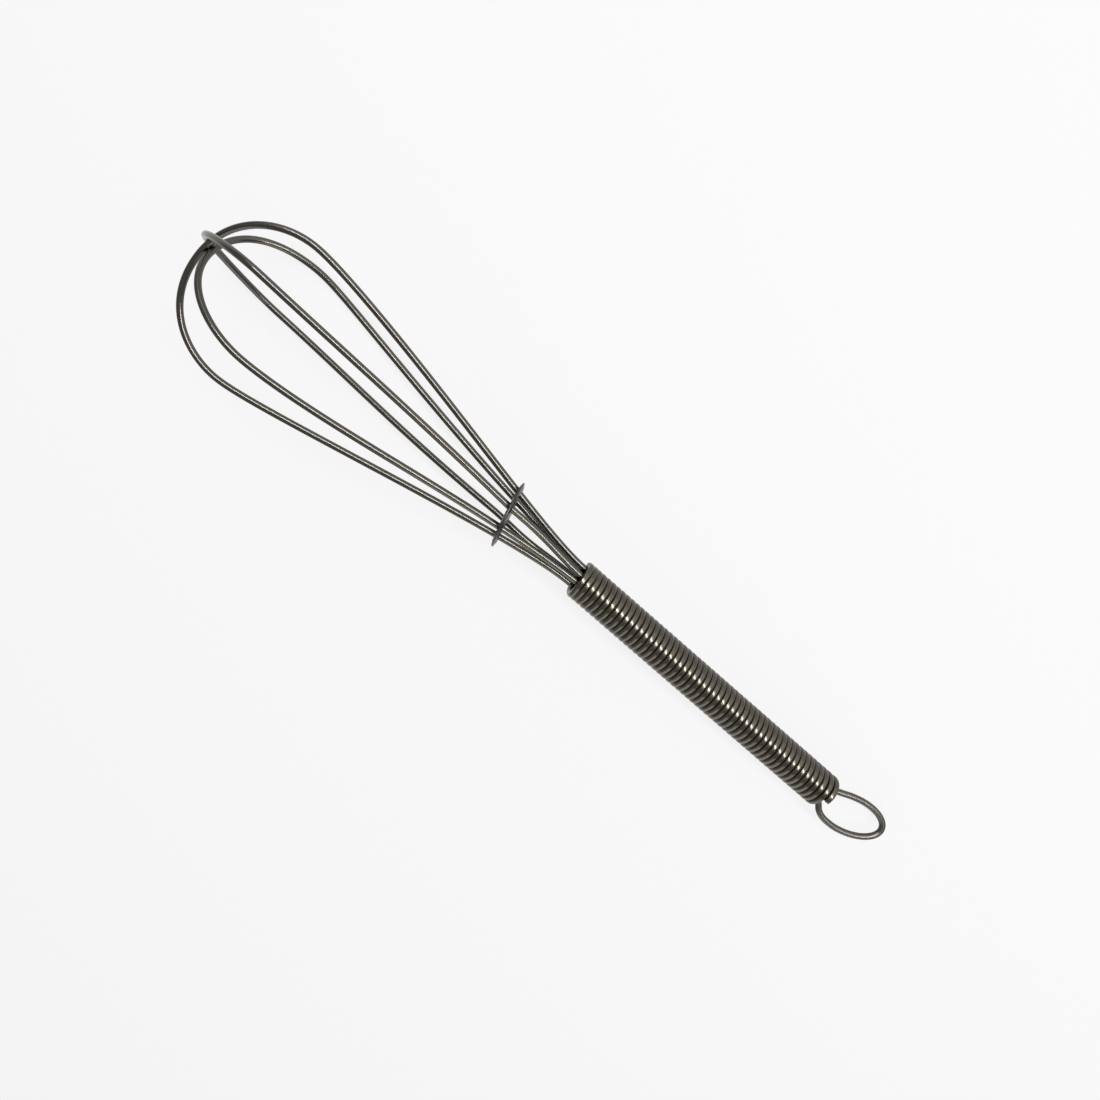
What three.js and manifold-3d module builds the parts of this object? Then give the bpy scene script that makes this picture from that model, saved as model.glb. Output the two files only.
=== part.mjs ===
// A small wire whisk, lying on a table as it comes to rest by itself.
// Three wire loops make the balloon, a pierced disc spreads them, their legs run into a handle
// wound from one wire, and a wire eye is held in the handle's other end.
// Units are millimetres and +Z is up. Lengthwise places are measured along the handle's axis from
// its mouth, + towards the balloon. Angles round the axis are in degrees, from straight up.

import * as THREE from 'three';
import { mergeVertices } from 'three/addons/utils/BufferGeometryUtils.js';
import Module from 'manifold-3d';

// Wire
const WIRE = 1.4; // diameter of every wire
const SEAT_GAP = 0.3; // clearance between a wire and what holds it

// Wound handle
const COIL_OUTER = 8.9; // outside diameter
const COIL_TURNS = 52.3;
const COIL_PITCH_FRONT = 1.425; // from turn to turn at the mouth
const COIL_PITCH_REAR = 1.515; // and at the other end
const COIL_GAP = 0.46; // free space between turns at the mouth
const COIL_START_ANGLE = 141; // where the first turn begins
const CURL_STEPS = 8;
const CURL_SIDES = 5;

// Balloon loops
const LEG_DEPTH = 48; // how far the legs run into the handle
const TIP_GAP = 0.5; // space between the inner and the middle loop where they cross at the tip
const OUTER_TIP_GAP = 0; // and from there to the outer loop, which crosses beside the middle of the cap
const INNER_REACH = 100; // how far the inner loop stands out of the handle
const SIDE_ANGLE = 306; // the sideways direction in which loops are bent off their centre
const LEG_EASE_MOUTH = 0.174; // how long a leg stays straight, as a share of its length
const LEG_EASE_BELLY = 0.141; // how early it reaches full width
const LOOP_STEP = 2.4; // length of a facet along a loop
const INNER = {
  name: 'inner_loop', halfWidth: 15.2, belly: 82.2, plane: 163.2, mouth: [164, 2], lean: -2.4, bow: 1.6,
  capEase: 0.465, capRound: 0.682,
};
const MIDDLE = {
  name: 'middle_loop', halfWidth: 17.8, belly: 84.7, plane: 108.3, mouth: [112.5, 292], lean: 2, bow: -0.7,
  capEase: 0.465, capRound: 0.682,
};
const OUTER = {
  name: 'outer_loop', halfWidth: 17.2, belly: 86.8, plane: 41.3, mouth: [54, 232], lean: -2.75, bow: 0.1,
  capEase: 0.415, capRound: 0.38,
};

// Spreader disc
const DISC_RADIUS = 7.7;
const DISC_THICKNESS = 0.65;
const DISC_RIM = 0.2; // rounding of the rim
const DISC_AT = 20.2;
const DISC_OFFSET = -0.4; // how far its centre lies to one side
const DISC_TILT = 14; // it sits askew on the wires, turned to one side
const DISC_LEAN = 4.5; // and leaning towards the tip
const DISC_SEGMENTS = 48;

// Eye at the end of the handle
const EYE_LENGTH = 17.2; // centre line, along the handle
const EYE_WIDTH = 8.35;
const EYE_TURN = 13.8; // the oval is turned a little off the axis
const EYE_STAND_OFF = 9.6; // from the end of the handle to the middle of the oval
const EYE_OFFSET = 0.28;
const EYE_ENDS = [-107, 145]; // where on the oval its legs begin, in degrees from its far end
const EYE_LEG_DEPTH = 24;
const EYE_POINTS = 10; // points that its curve is drawn through
const EYE_STEP = 2;

// Looks
const STEEL = { color: 0x5c5850, metalness: 1, roughness: 0.22 };

const ROUND_SIDES = 8;
const wasm = await Module();
wasm.setup();

// Worked out from the sizes above
const wireRadius = WIRE / 2;
const boreRadius = COIL_OUTER / 2 - WIRE;
const legRadius = boreRadius - wireRadius - SEAT_GAP;
const middleReach = INNER_REACH + WIRE + TIP_GAP;
const outerReach = middleReach + WIRE + OUTER_TIP_GAP;
const pitchGrowth = (COIL_PITCH_REAR - COIL_PITCH_FRONT) / (2 * COIL_TURNS);
const coilRun = (turns) => COIL_PITCH_FRONT * turns + pitchGrowth * turns * turns;
const coilLength = coilRun(COIL_TURNS);
const radians = THREE.MathUtils.degToRad;

// A point at a distance from the handle's axis, in a direction round it
function around(along, radius, angle) {
  const turn = radians(angle);
  return new THREE.Vector3(along, -radius * Math.sin(turn), radius * Math.cos(turn));
}

function steel() {
  return new THREE.MeshStandardMaterial(STEEL);
}

function roundSection(radius, sides) {
  const corners = [];
  for (let k = 0; k < sides; k += 1) {
    const turn = ((k + 0.5) / sides) * 2 * Math.PI;
    corners.push(new THREE.Vector2(radius * Math.cos(turn), radius * Math.sin(turn)));
  }
  return new THREE.Shape(corners);
}

function tubeAlong(path, radius, step) {
  const steps = Math.max(1, Math.round(path.getLength() / step));
  return new THREE.ExtrudeGeometry(roundSection(radius, ROUND_SIDES), { steps, extrudePath: path });
}

// One balloon wire: out of the handle, round the tip and back in. It is straight in the bore, swells
// to the belly and closes in a round cap. Each half keeps to its own angle, which turns from the
// angle in the mouth to that of the loop's plane.
class BalloonLoop extends THREE.Curve {
  constructor(size, reach) {
    super();
    this.size = size;
    this.reach = reach;
    const { halfWidth, belly, capEase, capRound } = size;
    const cap = reach - belly;
    this.leg = new THREE.CubicBezierCurve(
      new THREE.Vector2(0, legRadius),
      new THREE.Vector2(LEG_EASE_MOUTH * belly, legRadius),
      new THREE.Vector2((1 - LEG_EASE_BELLY) * belly, halfWidth),
      new THREE.Vector2(belly, halfWidth),
    );
    this.cap = new THREE.CubicBezierCurve(
      new THREE.Vector2(belly, halfWidth),
      new THREE.Vector2(belly + capEase * cap, halfWidth),
      new THREE.Vector2(reach, capRound * halfWidth),
      new THREE.Vector2(reach, 0),
    );
    this.arcLengthDivisions = 600;
  }

  // Distance along and off the axis, for a share of the way from the bore's depth to the tip
  outline(share) {
    const bore = 0.3;
    const swell = 0.75;
    if (share < bore) return new THREE.Vector2(-LEG_DEPTH * (1 - share / bore), legRadius);
    if (share < swell) return this.leg.getPoint((share - bore) / (swell - bore));
    return this.cap.getPoint((share - swell) / (1 - swell));
  }

  getPoint(t, target = new THREE.Vector3()) {
    const half = t < 0.5 ? 0 : 1;
    const { x: along, y: radius } = this.outline(1 - Math.abs(2 * t - 1));
    const { belly, plane, mouth, lean, bow } = this.size;
    const planeAngle = plane + 180 * half;
    const twist = THREE.MathUtils.euclideanModulo(mouth[half] - planeAngle + 180, 360) - 180;
    const angle = planeAngle + twist * (1 - THREE.MathUtils.smoothstep(along, 0, belly));
    const share = THREE.MathUtils.clamp(along / this.reach, 0, 1);
    const aside = lean * share + bow * Math.sin(Math.PI * share);
    return target.copy(around(along, radius, angle)).add(around(0, aside, SIDE_ANGLE));
  }

  // The place on one half where the wire is a given distance along the axis
  crossing(half, along) {
    let low = 0.5 * half;
    let high = low + 0.5;
    for (let k = 0; k < 40; k += 1) {
      const middle = (low + high) / 2;
      const past = this.getPoint(middle).x > along;
      if (past === (half === 0)) high = middle;
      else low = middle;
    }
    return this.getPoint(low);
  }
}

// Cuts and joins
function solidOf(geometry) {
  const bare = geometry.clone();
  bare.deleteAttribute('normal');
  bare.deleteAttribute('uv');
  const merged = mergeVertices(bare, 1e-4);
  return new wasm.Manifold(new wasm.Mesh({
    numProp: 3,
    vertProperties: new Float32Array(merged.attributes.position.array),
    triVerts: new Uint32Array(merged.index.array),
  }));
}

function geometryOf(solid) {
  const { vertProperties, triVerts } = solid.getMesh();
  const geometry = new THREE.BufferGeometry();
  geometry.setAttribute('position', new THREE.BufferAttribute(vertProperties, 3));
  geometry.setIndex(new THREE.BufferAttribute(triVerts, 1));
  geometry.computeVertexNormals();
  return geometry;
}

// The disc is pierced where the wires pass, with clearance round each
function discGeometry(loops) {
  const half = DISC_THICKNESS / 2;
  const profile = [
    new THREE.Vector2(0, -half),
    new THREE.Vector2(DISC_RADIUS - DISC_RIM, -half),
    new THREE.Vector2(DISC_RADIUS, DISC_RIM - half),
    new THREE.Vector2(DISC_RADIUS, half - DISC_RIM),
    new THREE.Vector2(DISC_RADIUS - DISC_RIM, half),
    new THREE.Vector2(0, half),
  ];
  const plate = new THREE.LatheGeometry(profile, DISC_SEGMENTS);
  plate.rotateZ(-Math.PI / 2);
  const hinge = around(0, 1, SIDE_ANGLE + 90);
  plate.applyMatrix4(new THREE.Matrix4().makeRotationAxis(around(0, 1, SIDE_ANGLE), radians(DISC_LEAN)));
  plate.applyMatrix4(new THREE.Matrix4().makeRotationAxis(hinge, radians(DISC_TILT)));
  const centre = around(DISC_AT, DISC_OFFSET, SIDE_ANGLE);
  plate.translate(centre.x, centre.y, centre.z);
  const holeRadius = (wireRadius + SEAT_GAP) / Math.cos(Math.PI / ROUND_SIDES);
  let solid = solidOf(plate);
  const reach = DISC_RADIUS * Math.sin(radians(DISC_TILT)) + 2 * DISC_THICKNESS;
  for (const loop of loops) {
    for (const half of [0, 1]) {
      const wire = new THREE.LineCurve3(
        loop.crossing(half, DISC_AT - reach),
        loop.crossing(half, DISC_AT + reach),
      );
      solid = solid.subtract(solidOf(tubeAlong(wire, holeRadius, wire.getLength())));
    }
  }
  return geometryOf(solid);
}

// The handle is one wire wound in a helix. Its section is narrowed along the axis, which leaves the
// free space between turns, and its inner corners stand back so that the flats clear the bore.
function coilGeometry() {
  const outer = COIL_OUTER / 2;
  const inner = boreRadius / Math.cos(Math.PI / CURL_STEPS);
  const flat = Math.cos(Math.PI / CURL_SIDES);
  const depth = (outer - inner) / (1 + flat);
  const width = (COIL_PITCH_FRONT - COIL_GAP) / (2 * Math.sin((2 * Math.PI) / CURL_SIDES));
  const steps = Math.round(COIL_TURNS * CURL_STEPS);
  const points = [];
  const faces = [];
  for (let i = 0; i <= steps; i += 1) {
    const turns = i / CURL_STEPS;
    for (let k = 0; k < CURL_SIDES; k += 1) {
      const turn = (k / CURL_SIDES) * 2 * Math.PI;
      const along = -wireRadius - coilRun(turns) + width * Math.sin(turn);
      points.push(around(along, outer - depth * (1 - Math.cos(turn)), COIL_START_ANGLE - 360 * turns));
    }
  }
  for (let i = 0; i < steps; i += 1) {
    for (let k = 0; k < CURL_SIDES; k += 1) {
      const next = (k + 1) % CURL_SIDES;
      const [a, b] = [i * CURL_SIDES + k, i * CURL_SIDES + next];
      const [c, d] = [a + CURL_SIDES, b + CURL_SIDES];
      faces.push(a, b, c, b, d, c);
    }
  }
  const last = steps * CURL_SIDES;
  for (let k = 1; k < CURL_SIDES - 1; k += 1) {
    faces.push(0, k + 1, k, last, last + k, last + k + 1);
  }
  const geometry = new THREE.BufferGeometry().setFromPoints(points);
  geometry.setIndex(faces);
  geometry.computeVertexNormals();
  console.log(`handle_coil: least gap to itself ${leastGap(points).toFixed(2)} mm`);
  return geometry;
}

// Least distance between the corners of one turn and those of the next
function leastGap(points) {
  const ring = CURL_STEPS * CURL_SIDES;
  let least = Infinity;
  for (let i = 0; i + ring < points.length; i += 1) {
    const first = i - (i % CURL_SIDES) + ring - CURL_SIDES;
    for (let j = first; j < Math.min(first + 3 * CURL_SIDES, points.length); j += 1) {
      least = Math.min(least, points[i].distanceTo(points[j]));
    }
  }
  return least;
}

// The eye is an oval of wire whose two legs run back into the handle
function eyeCurve() {
  const end = -wireRadius - coilLength;
  const legEnd = end + EYE_LEG_DEPTH;
  const middle = end - EYE_STAND_OFF;
  const turn = radians(EYE_TURN);
  const [first, last] = EYE_ENDS;
  const oval = [];
  for (let k = 0; k <= EYE_POINTS; k += 1) {
    const angle = first + ((last - first) * k) / EYE_POINTS;
    const along = -(EYE_LENGTH / 2) * Math.cos(radians(angle));
    const aside = (EYE_WIDTH / 2) * Math.sin(radians(angle));
    oval.push(around(
      middle + along * Math.cos(turn) - aside * Math.sin(turn),
      EYE_OFFSET + along * Math.sin(turn) + aside * Math.cos(turn),
      SIDE_ANGLE,
    ));
  }
  const leg = (side) => [legEnd, (legEnd + end) / 2, end].map((x) => around(x, side * legRadius, SIDE_ANGLE));
  return new THREE.CatmullRomCurve3([...leg(-1), ...oval, ...leg(1).reverse()], false, 'centripetal');
}

// Lays the whisk down: turns it until the lowest points of the handle's rear and of the balloon's two
// sides are level, and sets it on the table with the middle of its box over the origin
function layDown(whisk) {
  const spots = whisk.children.flatMap((mesh) => {
    const places = mesh.geometry.attributes.position;
    return Array.from({ length: places.count }, (_, i) => new THREE.Vector3().fromBufferAttribute(places, i));
  });
  const feet = [
    spots.filter((p) => p.x < 0),
    spots.filter((p) => p.x > 0 && p.y < 0),
    spots.filter((p) => p.x > 0 && p.y >= 0),
  ];
  const up = new THREE.Vector3(0, 0, 1);
  const lowest = (group) => group.reduce((best, p) => (p.dot(up) < best.dot(up) ? p : best));
  const passes = 12;
  for (let k = 0; k < passes; k += 1) {
    const [rear, right, left] = feet.map(lowest);
    up.crossVectors(right.clone().sub(rear), left.clone().sub(rear)).normalize();
  }
  const pitch = Math.asin(up.x);
  const roll = Math.atan2(up.y, up.z);
  whisk.rotation.set(roll, -pitch, 0, 'YXZ');
  whisk.updateMatrixWorld(true);
  const box = new THREE.Box3().setFromObject(whisk, true);
  const middle = box.getCenter(new THREE.Vector3());
  whisk.position.set(-middle.x, -middle.y, -box.min.z);
}

// Assembly
const balloon = [
  new BalloonLoop(INNER, INNER_REACH),
  new BalloonLoop(MIDDLE, middleReach),
  new BalloonLoop(OUTER, outerReach),
];
const whisk = new THREE.Group();

function addPiece(name, geometry) {
  const mesh = new THREE.Mesh(geometry, steel());
  mesh.name = name;
  whisk.add(mesh);
}

for (const loop of balloon) addPiece(loop.size.name, tubeAlong(loop, wireRadius, LOOP_STEP));
addPiece('spreader_disc', discGeometry(balloon));
addPiece('handle_coil', coilGeometry());
addPiece('hang_loop', tubeAlong(eyeCurve(), wireRadius, EYE_STEP));
layDown(whisk);

const part = new THREE.Group();
part.add(whisk);

export default part;
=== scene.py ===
"""A small wire whisk of dark polished steel on a pale table, seen from above and close by."""
import math

import bpy
from mathutils import Matrix, Vector


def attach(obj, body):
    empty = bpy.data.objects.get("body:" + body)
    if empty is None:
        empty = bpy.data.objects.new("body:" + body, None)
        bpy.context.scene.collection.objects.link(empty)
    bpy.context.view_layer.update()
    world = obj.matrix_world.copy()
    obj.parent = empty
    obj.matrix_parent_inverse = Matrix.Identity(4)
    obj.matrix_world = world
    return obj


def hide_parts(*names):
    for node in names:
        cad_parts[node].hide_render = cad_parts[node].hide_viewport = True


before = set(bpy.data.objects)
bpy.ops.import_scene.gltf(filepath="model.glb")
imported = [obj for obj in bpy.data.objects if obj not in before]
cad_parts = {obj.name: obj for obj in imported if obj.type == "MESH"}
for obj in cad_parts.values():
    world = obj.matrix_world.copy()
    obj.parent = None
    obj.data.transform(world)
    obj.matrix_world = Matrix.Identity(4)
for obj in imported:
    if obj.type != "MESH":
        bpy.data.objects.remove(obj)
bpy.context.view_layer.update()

# Sizes in millimetres and degrees, as in the part. Lengthwise places run along the handle's axis from
# its mouth, + towards the balloon, and angles go round that axis from straight up.
MM = 0.001

# How the whisk lies on the table
REST_ROLL = -4.738
REST_PITCH = -3.933
MOUTH_AT = (-3.956, -1.135, 9.715)

# Direction in which places aside are measured, with the viewer 90 degrees further round
SIDE_ANGLE = 306

# Cut ends of the wires
CUT_EDGE = 0.12  # how far the broken edge goes past the full wire
CUT_SHARE = 0.83  # share of its thickness that the wire keeps there

# Wound handle
COIL_WIRE = 1.4  # thickness outwards
COIL_WIDE = 1.49  # thickness along the handle
COIL_SQUARE = 0.78  # below 1 for sides that are pressed flatter
COIL_OUTER = 8.9  # outside diameter
COIL_TURNS = 52.35
COIL_PITCH_FRONT = 1.425  # from turn to turn at the mouth
COIL_PITCH_REAR = 1.522  # and at the other end
COIL_FIRST = -0.4  # where the first turn begins along the axis
COIL_START_ANGLE = 138  # and round it
COIL_LEAN = 0.25  # how far back the near side of each turn sits
COIL_SKEW_FRONT = 0.6  # how far back both sides of the first turns sit
COIL_SKEW_REAR = 0.5  # how far back one side of the last turns sits
COIL_SKEW_TURNS = 2.5  # turns in which both skews fade out
COIL_STEPS = 44  # points in each turn
COIL_SIDES = 24

# Balloon loops
LOOP_WIRE = 1.48
LOOP_SIDES = 24
LOOP_BORE_STEPS = 12
LOOP_LEG_STEPS = 100
LOOP_CAP_STEPS = 50
LEG_RADIUS = 2.3  # distance from the axis in the handle
LEG_ASIDE = -0.25  # how far aside the legs' middle sits in the handle
LEG_DEPTH = 48  # how deep the legs reach into the handle
LEG_EASE_MOUTH = 0.187  # pull of the mouth's direction on a leg, as a share of the way to the belly
LEG_EASE_BELLY = 0.15  # and pull of the belly's direction
NECK_LENGTH = 23  # stretch in front of the mouth where a leg may turn further round

# For each loop: how far its tip reaches, the half width and place of its belly, the angle of its plane,
# its two legs' angles at the mouth and their further turn in the neck, how far it leans and bows aside,
# and how its cap eases into the round.
LOOPS = [
    {"node": "inner_loop", "reach": 100.35, "half_width": 15.07, "belly": 82.2,
     "plane": 163.2, "mouth": (154, 8), "neck": (0, 0), "lean": -2.4, "bow": 1.6,
     "cap_ease": 0.465, "cap_round": 0.682},
    {"node": "middle_loop", "reach": 101.95, "half_width": 17.7, "belly": 84.7,
     "plane": 108.3, "mouth": (116.5, 295), "neck": (0, 0), "lean": 2.05, "bow": -0.7,
     "cap_ease": 0.465, "cap_round": 0.682},
    {"node": "outer_loop", "reach": 103.15, "half_width": 17.1, "belly": 86.8,
     "plane": 41.3, "mouth": (50, 235.7), "neck": (6.5, 8.5), "lean": -2.75, "bow": 0.1,
     "cap_ease": 0.415, "cap_round": 0.36},
]

# Spreader disc
DISC_RADIUS = 7.7
DISC_THICKNESS = 0.95
DISC_RIM = 0.42  # thickness at the rim
DISC_TAPER = 1.0  # width of the stretch that thins towards the rim
DISC_AT = 20.2
DISC_OFFSET = -0.4
DISC_TILT = 14  # about the line of sight
DISC_LEAN = 7.6  # about the line aside
DISC_SEGMENTS = 96
DISC_RIM_STEPS = 8
DISC_SHARP = 30  # edges steeper than this stay sharp
HOLE_GAP = 0.1  # free space round each leg
HOLE_REACH = 4  # how far the cutting bars go to both sides of the disc
HOLE_SIDES = 24

# Eye, with its legs given as places before the handle's rear end and aside
EYE_WIRE = 1.55
EYE_SIDES = 24
EYE_ANGLE = 298
EYE_LENGTH = 17.38
EYE_WIDTH = 8.76
EYE_TURN = 14.1
EYE_MIDDLE = -86.84
EYE_OFFSET = 0.19
EYE_ENDS = (-100, 105)  # where the oval begins and ends, from its rearmost point
EYE_POINTS = 10  # stretches of the oval
EYE_STEPS = 10  # steps from each point to the next
EYE_UPPER_LEG = ((24, -1.6), (12, -1.6), (-0.5, -1.6))
EYE_LOWER_LEG = ((24, 2.05), (12, 2.05), (0.5, 2.05), (-1.1, 2.85), (-2.4, 4.0), (-4.2, 4.75))

# Steels, each with its clean and stained colours, its range of roughness and the strength of its lines
STEELS = {
    "balloon_steel": {"clean": (0.115, 0.107, 0.094), "stained": (0.085, 0.079, 0.069),
                      "rough": (0.16, 0.24), "scratch": 0.02},
    "handle_steel": {"clean": (0.115, 0.104, 0.086), "stained": (0.085, 0.076, 0.062),
                     "rough": (0.19, 0.27), "scratch": 0.02},
    "eye_steel": {"clean": (0.115, 0.107, 0.094), "stained": (0.085, 0.079, 0.069),
                  "rough": (0.3, 0.4), "scratch": 0.02},
    "disc_steel": {"clean": (0.085, 0.077, 0.07), "stained": (0.05, 0.046, 0.042),
                   "rough": (0.3, 0.45), "scratch": 0.1},
}
LINE_SCALE = (4, 60, 1)  # noise cells round the wire, and in each metre along it
LINE_DETAIL = 2
LINE_DEPTH = 0.01
STAIN_SCALE = 260  # noise cells in each metre
STAIN_DETAIL = 4

# Camera, with places given as along the axis, aside and towards the viewer
LENS = 29.45
SENSOR = 36
CAMERA_AT = (38.9, 0.25, 193.9)
CAMERA_AIM = (8.2, -0.61, 0)
CAMERA_NEAREST = 10  # nothing nearer is drawn
PICTURE_ANGLE = 41.0

# Lamps, placed round the whisk's axis and facing it
LAMPS = {
    "far_box": {"angle": -49, "distance": 1500, "along": -1500, "turn": 0,
                "length": 2400, "width": 2260, "radiance": 1.15},
    "near_box": {"angle": 72, "distance": 1500, "along": 0, "turn": 0,
                 "length": 3600, "width": 1180, "radiance": 1.0},
    "strip": {"angle": 44.2, "distance": 600, "along": -30, "turn": 4,
              "length": 900, "width": 80, "radiance": 25},
}
ROOM_LIGHT = 0.42

# Table
TABLE_DROP = 0.1  # how far it lies below the whisk
TABLE_SIZE = 6000
TABLE_COLOUR = 0.07  # grey that takes the shadow
TABLE_GLOW = 0.834  # even light that it shows to the viewer and in the metal


def around(along, radius, angle):
    """A point in the whisk's own frame, at a distance from the axis in a direction round it."""
    turn = math.radians(angle)
    return Vector((along, -radius * math.sin(turn), radius * math.cos(turn)))


def resting():
    """The matrix from the whisk's own frame in millimetres to the part's frame in metres."""
    roll = Matrix.Rotation(math.radians(REST_ROLL), 4, "X")
    pitch = Matrix.Rotation(math.radians(REST_PITCH), 4, "Y")
    return Matrix.Scale(MM, 4) @ Matrix.Translation(MOUTH_AT) @ pitch @ roll


REST = resting()


def posed(place, right, back):
    """The matrix of a lamp or camera at a place in the whisk's own frame, facing away from back."""
    facing = Matrix((right, back.cross(right), back)).transposed().to_4x4()
    return (REST @ Matrix.Translation(place) @ facing).normalized()


def add_object(name, data):
    made = bpy.data.objects.new(name, data)
    bpy.context.collection.objects.link(made)
    return made


def clamp(share):
    return min(max(share, 0), 1)


def smoothstep(share):
    share = clamp(share)
    return share * share * (3 - 2 * share)


def bezier(points, share):
    """A place on a cubic curve in the plane."""
    a, b, c, d = points
    rest = 1 - share
    return tuple(
        rest ** 3 * a[k] + 3 * rest ** 2 * share * b[k] + 3 * rest * share ** 2 * c[k] + share ** 3 * d[k]
        for k in (0, 1)
    )


def blend_spans(t, level):
    """The spans between four knots that one level of the curve's pyramid blends over."""
    if level == 3:
        return [(t[1], t[2])]
    return [(t[j], t[j + level]) for j in range(4 - level)]


def spline(points, steps):
    """A smooth curve through points, with knots spaced by the square root of their distances."""
    ends = [2 * points[0] - points[1], *points, 2 * points[-1] - points[-2]]
    knots = [0]
    for a, b in zip(ends, ends[1:]):
        knots.append(knots[-1] + math.sqrt((b - a).length))
    path = []
    for i in range(1, len(ends) - 2):
        p, t = ends[i - 1:i + 3], knots[i - 1:i + 3]
        for k in range(steps):
            x = t[1] + (t[2] - t[1]) * k / steps
            row = p
            for level in (1, 2, 3):
                row = [
                    row[j].lerp(row[j + 1], (x - low) / (high - low))
                    for j, (low, high) in enumerate(blend_spans(t, level))
                ]
            path.append(row[0])
    return path + [points[-1]]


def frames(path):
    """Tangent, normal and binormal at each point, carried along without twist."""
    last = len(path) - 1
    tangents = [(path[min(i + 1, last)] - path[max(i - 1, 0)]).normalized() for i in range(last + 1)]
    normal = tangents[0].orthogonal().normalized()
    result = []
    for i, tangent in enumerate(tangents):
        if i:
            normal = tangents[i - 1].rotation_difference(tangent) @ normal
            normal = (normal - tangent * normal.dot(tangent)).normalized()
        result.append((tangent, normal, tangent.cross(normal)))
    return result


def frames_round_axis(path):
    """Tangent, outward and lengthwise directions at each point of the winding."""
    result = []
    for point, (tangent, _, _) in zip(path, frames(path)):
        outward = Vector((0, point.y, point.z))
        outward = (outward - tangent * outward.dot(tangent)).normalized()
        result.append((tangent, outward, tangent.cross(outward)))
    return result


def section(high, wide, sides, square=1.0):
    """A wire's outline: round, or with its sides pressed flatter where square is below 1."""
    outline = []
    for k in range(sides):
        turn = 2 * math.pi * k / sides
        out, along = math.cos(turn), math.sin(turn)
        outline.append((
            math.copysign(abs(out) ** square, out) * high / 2,
            math.copysign(abs(along) ** square, along) * wide / 2,
        ))
    return outline


def cut_rings(path, axes):
    """A wire's rings as point, directions and size, with a smaller ring past each cut end."""
    rings = [(point, axis, 1.0) for point, axis in zip(path, axes)]
    head, tail = axes[0], axes[-1]
    first = (path[0] - head[0] * CUT_EDGE, head, CUT_SHARE)
    last = (path[-1] + tail[0] * CUT_EDGE, tail, CUT_SHARE)
    return [first, *rings, last]


def ring_points(outline, point, axis, size=1.0):
    """An outline set across a path, in the part's frame."""
    _, normal, binormal = axis
    return [REST @ (point + (normal * out + binormal * side) * size) for out, side in outline]


def tube_faces(rings, sides):
    """The faces of a closed tube: from ring to ring, then its first and its last end."""
    faces = []
    for i in range(rings - 1):
        for k in range(sides):
            after = (k + 1) % sides
            faces.append((i * sides + k, i * sides + after, (i + 1) * sides + after, (i + 1) * sides + k))
    base = (rings - 1) * sides
    return [*faces, tuple(reversed(range(sides))), tuple(range(base, base + sides))]


def tube_uvs(lengths, sides):
    """A place for each corner of those faces: round the tube and, in metres, along it."""
    uvs = []
    for low, high in zip(lengths, lengths[1:]):
        for k in range(sides):
            left, right = k / sides, (k + 1) / sides
            uvs += [(left, low * MM), (right, low * MM), (right, high * MM), (left, high * MM)]
    return uvs + [(0.5, 0)] * (2 * sides)


def wire_object(name, path, axes, outline, material):
    """A wire along a path in millimetres, with slightly broken edges at its cut ends."""
    sides = len(outline)
    rings = cut_rings(path, axes)
    lengths = [0]
    for (before, _, _), (point, _, _) in zip(rings, rings[1:]):
        lengths.append(lengths[-1] + (point - before).length)
    verts = [vert for ring in rings for vert in ring_points(outline, *ring)]
    faces = tube_faces(len(rings), sides)
    mesh = bpy.data.meshes.new(name)
    mesh.from_pydata(verts, [], faces)
    layer = mesh.uv_layers.new(name="wire")
    layer.data.foreach_set("uv", [value for uv in tube_uvs(lengths, sides) for value in uv])
    mesh.polygons.foreach_set("use_smooth", [True] * (len(faces) - 2) + [False] * 2)
    mesh.materials.append(material)
    return add_object(name, mesh)


def loop_point(loop, half, along, radius):
    """Where a balloon wire is, for its distances along and off the axis."""
    plane = loop["plane"] + 180 * half
    twist = (loop["mouth"][half] - plane + 180) % 360 - 180
    angle = plane + twist * (1 - smoothstep(along / loop["belly"]))
    angle += loop["neck"][half] * math.sin(math.pi * clamp(along / NECK_LENGTH)) ** 2
    share = clamp(along / loop["reach"])
    aside = LEG_ASIDE * (1 - share) + loop["lean"] * share + loop["bow"] * math.sin(math.pi * share)
    return around(along, radius, angle) + around(0, aside, SIDE_ANGLE)


def loop_half(loop, half):
    """One half of a balloon wire, from deep in the handle to the tip."""
    width, belly, reach = loop["half_width"], loop["belly"], loop["reach"]
    ease, early = LEG_EASE_MOUTH * belly, LEG_EASE_BELLY * belly
    full = belly + loop["cap_ease"] * (reach - belly)
    leg = [(0, LEG_RADIUS), (ease, LEG_RADIUS), (belly - early, width), (belly, width)]
    cap = [(belly, width), (full, width), (reach, loop["cap_round"] * width), (reach, 0)]
    outline = [(-LEG_DEPTH * (1 - i / LOOP_BORE_STEPS), LEG_RADIUS) for i in range(LOOP_BORE_STEPS)]
    outline += [bezier(leg, i / LOOP_LEG_STEPS) for i in range(LOOP_LEG_STEPS)]
    outline += [bezier(cap, i / LOOP_CAP_STEPS) for i in range(LOOP_CAP_STEPS + 1)]
    return [loop_point(loop, half, *place) for place in outline]


def loop_path(loop):
    """A whole balloon wire, from one leg's end round the tip to the other's."""
    return loop_half(loop, 0) + loop_half(loop, 1)[-2::-1]


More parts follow.
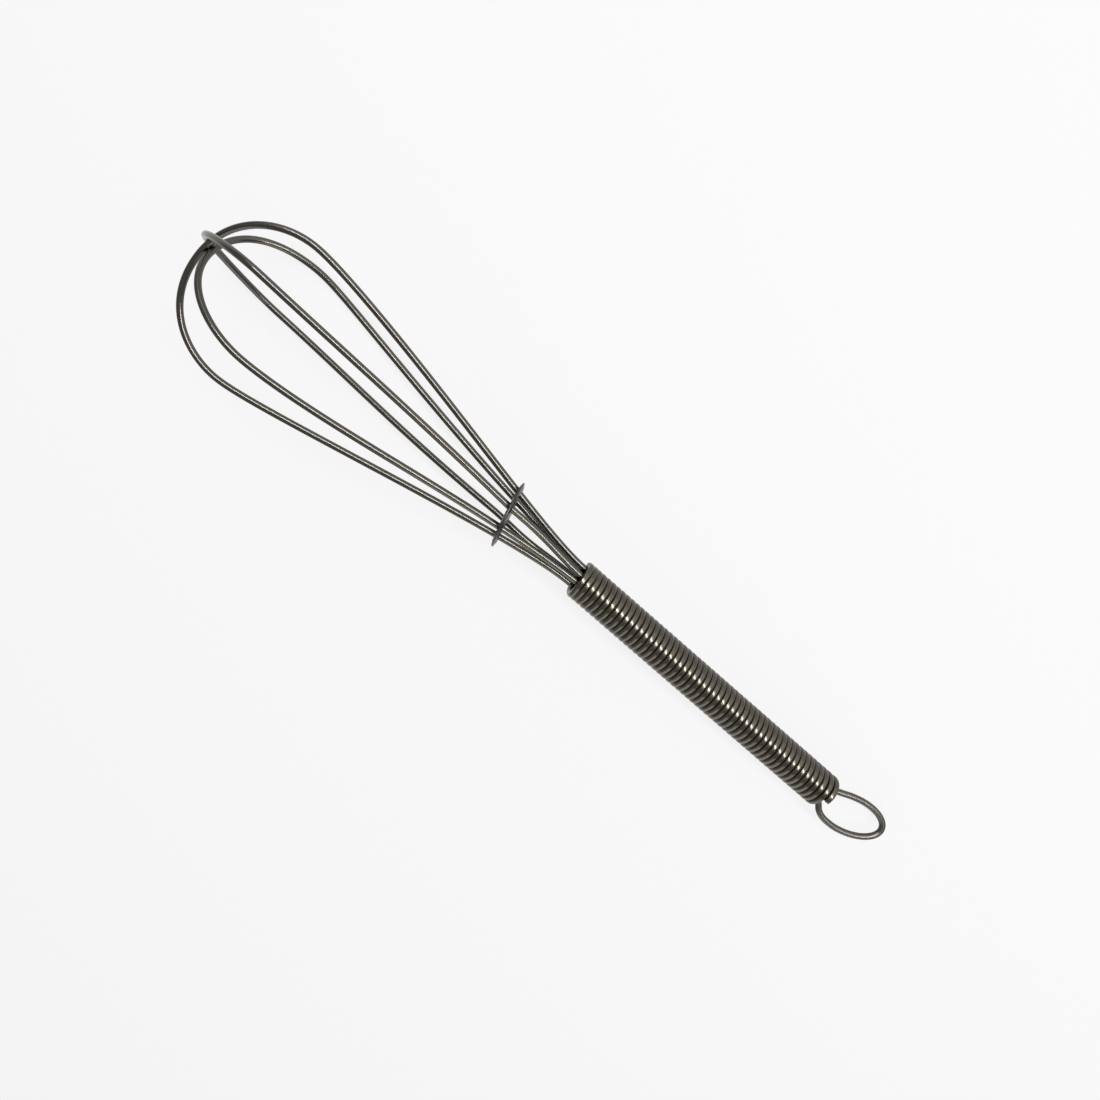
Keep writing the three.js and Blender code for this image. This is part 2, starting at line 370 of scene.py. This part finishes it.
def coil_path():
    """The winding: its turns lean a little, and the sides of the end turns sit further back."""
    growth = (COIL_PITCH_REAR - COIL_PITCH_FRONT) / (2 * COIL_TURNS)
    radius = (COIL_OUTER - COIL_WIRE) / 2
    path = []
    for i in range(round(COIL_TURNS * COIL_STEPS) + 1):
        turns = i / COIL_STEPS
        angle = COIL_START_ANGLE - 360 * turns
        turned = math.radians(angle - SIDE_ANGLE - 90)
        side = math.sin(turned)
        front = 1 - smoothstep(turns / COIL_SKEW_TURNS)
        rear = 1 - smoothstep((COIL_TURNS - turns) / COIL_SKEW_TURNS)
        back = COIL_LEAN * math.cos(turned)
        back += COIL_SKEW_FRONT * front * side ** 2 + COIL_SKEW_REAR * rear * (1 + side) / 2
        along = COIL_FIRST - COIL_PITCH_FRONT * turns - growth * turns ** 2 - back
        path.append(around(along, radius, angle))
    return path


def eye_path():
    """The eye's wire, from one leg's end in the handle round the oval to the other's."""
    end = coil_path()[-1].x
    turn = math.radians(EYE_TURN)
    first, last = EYE_ENDS
    oval = []
    for k in range(EYE_POINTS + 1):
        angle = math.radians(first + (last - first) * k / EYE_POINTS)
        along = -EYE_LENGTH / 2 * math.cos(angle)
        aside = EYE_WIDTH / 2 * math.sin(angle)
        oval.append(around(
            EYE_MIDDLE + along * math.cos(turn) - aside * math.sin(turn),
            EYE_OFFSET + along * math.sin(turn) + aside * math.cos(turn),
            EYE_ANGLE,
        ))
    upper = [around(end + depth, aside, EYE_ANGLE) for depth, aside in EYE_UPPER_LEG]
    lower = [around(end + depth, aside, EYE_ANGLE) for depth, aside in EYE_LOWER_LEG]
    return spline([*upper, *oval, *reversed(lower)], EYE_STEPS)


def disc_profile():
    """The disc's edge as radius and height: it thins from the flat faces to a half-round rim."""
    half, rim = DISC_THICKNESS / 2, DISC_RIM / 2
    flat = DISC_RADIUS - DISC_TAPER
    edge = []
    for i in range(DISC_RIM_STEPS + 1):
        turn = math.pi * i / DISC_RIM_STEPS
        edge.append((DISC_RADIUS - rim + rim * math.sin(turn), rim * math.cos(turn)))
    return [(flat, half), *edge, (flat, -half)]


def disc_mesh():
    """The disc's plate before it is pierced, lathed and set aslant on the axis."""
    profile = disc_profile()
    rows = len(profile)
    tilt = Matrix.Rotation(math.radians(DISC_TILT), 4, around(0, 1, SIDE_ANGLE + 90))
    slant = tilt @ Matrix.Rotation(math.radians(DISC_LEAN), 4, around(0, 1, SIDE_ANGLE))
    centre = around(DISC_AT, DISC_OFFSET, SIDE_ANGLE)
    verts = []
    faces = []
    for k in range(DISC_SEGMENTS):
        after = (k + 1) % DISC_SEGMENTS
        for radius, along in profile:
            verts.append(REST @ (centre + slant @ around(along, radius, 360 * k / DISC_SEGMENTS)))
        for j in range(rows - 1):
            faces.append((k * rows + j, after * rows + j, after * rows + j + 1, k * rows + j + 1))
    faces.append(tuple(k * rows for k in reversed(range(DISC_SEGMENTS))))
    faces.append(tuple(k * rows + rows - 1 for k in range(DISC_SEGMENTS)))
    mesh = bpy.data.meshes.new("spreader_plate")
    mesh.from_pydata(verts, [], faces)
    return mesh


def crossing(path, along):
    """The place where a path from the handle to the tip passes a distance along the axis."""
    a, b = next(pair for pair in zip(path, path[1:]) if pair[0].x <= along < pair[1].x)
    return a.lerp(b, (along - a.x) / (b.x - a.x))


def cutter(start, end, radius):
    """A plain round bar from start to end, which bores one hole."""
    path = [start, end]
    circle = section(2 * radius, 2 * radius, HOLE_SIDES)
    verts = [vert for ring in zip(path, frames(path)) for vert in ring_points(circle, *ring)]
    mesh = bpy.data.meshes.new("bore")
    mesh.from_pydata(verts, [], tube_faces(len(path), HOLE_SIDES))
    return add_object("bore", mesh)


def leg_cutters():
    """A bar along each of the six legs where it passes the disc."""
    bars = []
    for loop in LOOPS:
        for half in (0, 1):
            path = loop_half(loop, half)
            ends = [crossing(path, DISC_AT + step) for step in (-HOLE_REACH, HOLE_REACH)]
            bars.append(cutter(*ends, LOOP_WIRE / 2 + HOLE_GAP))
    return bars


def disc_object(material):
    """The disc with a hole for each leg."""
    plate = add_object("spreader_plate", disc_mesh())
    bars = leg_cutters()
    for bar in bars:
        cut = plate.modifiers.new("hole", "BOOLEAN")
        cut.operation = "DIFFERENCE"
        cut.object = bar
    bpy.context.view_layer.update()
    shaped = plate.evaluated_get(bpy.context.evaluated_depsgraph_get())
    mesh = bpy.data.meshes.new_from_object(shaped)
    plate.modifiers.clear()
    plate.data = mesh
    for bar in bars:
        bpy.data.objects.remove(bar)
    mesh.materials.clear()
    mesh.materials.append(material)
    mesh.shade_smooth()
    mesh.set_sharp_from_angle(angle=math.radians(DISC_SHARP))
    return plate


def noise(nodes, scale, detail):
    texture = nodes.new("ShaderNodeTexNoise")
    texture.inputs["Scale"].default_value = scale
    texture.inputs["Detail"].default_value = detail
    return texture


def steel(name, clean, stained, rough, scratch):
    """Dark polished steel with faint stains, and with fine lines and uneven gloss along a wire."""
    material = bpy.data.materials.new(name)
    material.use_nodes = True
    nodes, links = material.node_tree.nodes, material.node_tree.links
    shader = nodes["Principled BSDF"]
    shader.inputs["Metallic"].default_value = 1.0
    place = nodes.new("ShaderNodeTexCoord")
    stretch = nodes.new("ShaderNodeMapping")
    stretch.inputs["Scale"].default_value = LINE_SCALE
    links.new(place.outputs["UV"], stretch.inputs["Vector"])
    lines = noise(nodes, 1.0, LINE_DETAIL)
    links.new(stretch.outputs["Vector"], lines.inputs["Vector"])
    stains = noise(nodes, STAIN_SCALE, STAIN_DETAIL)
    links.new(place.outputs["Object"], stains.inputs["Vector"])
    tint = nodes.new("ShaderNodeMix")
    tint.data_type = "RGBA"
    tint.inputs["A"].default_value = (*stained, 1)
    tint.inputs["B"].default_value = (*clean, 1)
    links.new(stains.outputs["Fac"], tint.inputs["Factor"])
    links.new(tint.outputs["Result"], shader.inputs["Base Color"])
    gloss = nodes.new("ShaderNodeMapRange")
    gloss.inputs["To Min"].default_value, gloss.inputs["To Max"].default_value = rough
    links.new(lines.outputs["Fac"], gloss.inputs["Value"])
    links.new(gloss.outputs["Result"], shader.inputs["Roughness"])
    bump = nodes.new("ShaderNodeBump")
    bump.inputs["Strength"].default_value = scratch
    bump.inputs["Distance"].default_value = LINE_DEPTH * MM
    links.new(lines.outputs["Fac"], bump.inputs["Height"])
    links.new(bump.outputs["Normal"], shader.inputs["Normal"])
    return material


def table_material():
    """A pale table that reads near white, keeps the shadow and shows in the metal."""
    material = bpy.data.materials.new("table")
    material.use_nodes = True
    nodes, links = material.node_tree.nodes, material.node_tree.links
    nodes.clear()
    output = nodes.new("ShaderNodeOutputMaterial")
    plain = nodes.new("ShaderNodeBsdfDiffuse")
    plain.inputs["Color"].default_value = (TABLE_COLOUR, TABLE_COLOUR, TABLE_COLOUR, 1)
    glow = nodes.new("ShaderNodeEmission")
    path = nodes.new("ShaderNodeLightPath")
    seen = path.outputs["Is Camera Ray"]
    for ray in ("Is Glossy Ray", "Is Transmission Ray"):
        either = nodes.new("ShaderNodeMath")
        either.operation = "MAXIMUM"
        links.new(seen, either.inputs[0])
        links.new(path.outputs[ray], either.inputs[1])
        seen = either.outputs[0]
    level = nodes.new("ShaderNodeMath")
    level.operation = "MULTIPLY"
    level.inputs[1].default_value = TABLE_GLOW
    links.new(seen, level.inputs[0])
    links.new(level.outputs[0], glow.inputs["Strength"])
    both = nodes.new("ShaderNodeAddShader")
    links.new(plain.outputs[0], both.inputs[0])
    links.new(glow.outputs[0], both.inputs[1])
    links.new(both.outputs[0], output.inputs["Surface"])
    return material


def add_table():
    size = TABLE_SIZE * MM / 2
    low = -TABLE_DROP * MM
    mesh = bpy.data.meshes.new("table")
    corners = [(-size, -size, low), (size, -size, low), (size, size, low), (-size, size, low)]
    mesh.from_pydata(corners, [], [(0, 1, 2, 3)])
    mesh.materials.append(table_material())
    table = add_object("table", mesh)


def add_lamp(name, lamp):
    """A flat lamp that faces the whisk's axis, with its length along it."""
    data = bpy.data.lights.new(name, "AREA")
    data.shape = "RECTANGLE"
    data.size = lamp["length"] * MM
    data.size_y = lamp["width"] * MM
    data.energy = lamp["radiance"] * math.pi * data.size * data.size_y
    away = around(0, 1, lamp["angle"])
    turn = math.radians(lamp["turn"])
    length = Vector((1, 0, 0)) * math.cos(turn) + around(0, 1, lamp["angle"] + 90) * math.sin(turn)
    spot = around(lamp["along"], lamp["distance"], lamp["angle"])
    add_object(name, data).matrix_world = posed(spot, length, away)


def add_light():
    """A plain grey room and the lamps."""
    world = bpy.data.worlds.new("room")
    bpy.context.scene.world = world
    world.use_nodes = True
    room = world.node_tree.nodes["Background"]
    room.inputs["Color"].default_value = (ROOM_LIGHT, ROOM_LIGHT, ROOM_LIGHT, 1)
    for name, lamp in LAMPS.items():
        add_lamp(name, lamp)


def viewed(along, aside, near):
    """A point given as along the axis, aside and towards the viewer, in the whisk's own frame."""
    return around(along, aside, SIDE_ANGLE) + around(0, near, SIDE_ANGLE + 90)


def add_camera():
    """The camera, turned about its line of sight until the whisk lies at its angle in the picture."""
    data = bpy.data.cameras.new("camera")
    data.lens = LENS
    data.sensor_width = SENSOR
    data.clip_start = CAMERA_NEAREST * MM
    place, aim = viewed(*CAMERA_AT), viewed(*CAMERA_AIM)
    back = (place - aim).normalized()
    rearward = Vector((-1, 0, 0))
    along = (rearward - back * rearward.dot(back)).normalized()
    turn = math.radians(PICTURE_ANGLE)
    right = along * math.cos(turn) + back.cross(along) * math.sin(turn)
    camera = add_object("camera", data)
    camera.matrix_world = posed(place, right, back)
    bpy.context.scene.camera = camera


def finish_piece(piece, node):
    """Fixes a piece to the body, in place of its node."""
    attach(piece, "root")
    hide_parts(node)


def add_balloon(material):
    outline = section(LOOP_WIRE, LOOP_WIRE, LOOP_SIDES)
    for loop in LOOPS:
        path = loop_path(loop)
        wire = wire_object("balloon_" + loop["node"], path, frames(path), outline, material)
        finish_piece(wire, loop["node"])


def add_handle(material):
    path = coil_path()
    outline = section(COIL_WIRE, COIL_WIDE, COIL_SIDES, COIL_SQUARE)
    winding = wire_object("handle_winding", path, frames_round_axis(path), outline, material)
    finish_piece(winding, "handle_coil")


def add_eye(material):
    path = eye_path()
    outline = section(EYE_WIRE, EYE_WIRE, EYE_SIDES)
    eye = wire_object("eye_wire", path, frames(path), outline, material)
    finish_piece(eye, "hang_loop")


def add_disc(material):
    finish_piece(disc_object(material), "spreader_disc")


bpy.context.scene.view_settings.view_transform = "Standard"
steels = {name: steel(name, **look) for name, look in STEELS.items()}
add_balloon(steels["balloon_steel"])
add_handle(steels["handle_steel"])
add_eye(steels["eye_steel"])
add_disc(steels["disc_steel"])
add_table()
add_light()
add_camera()
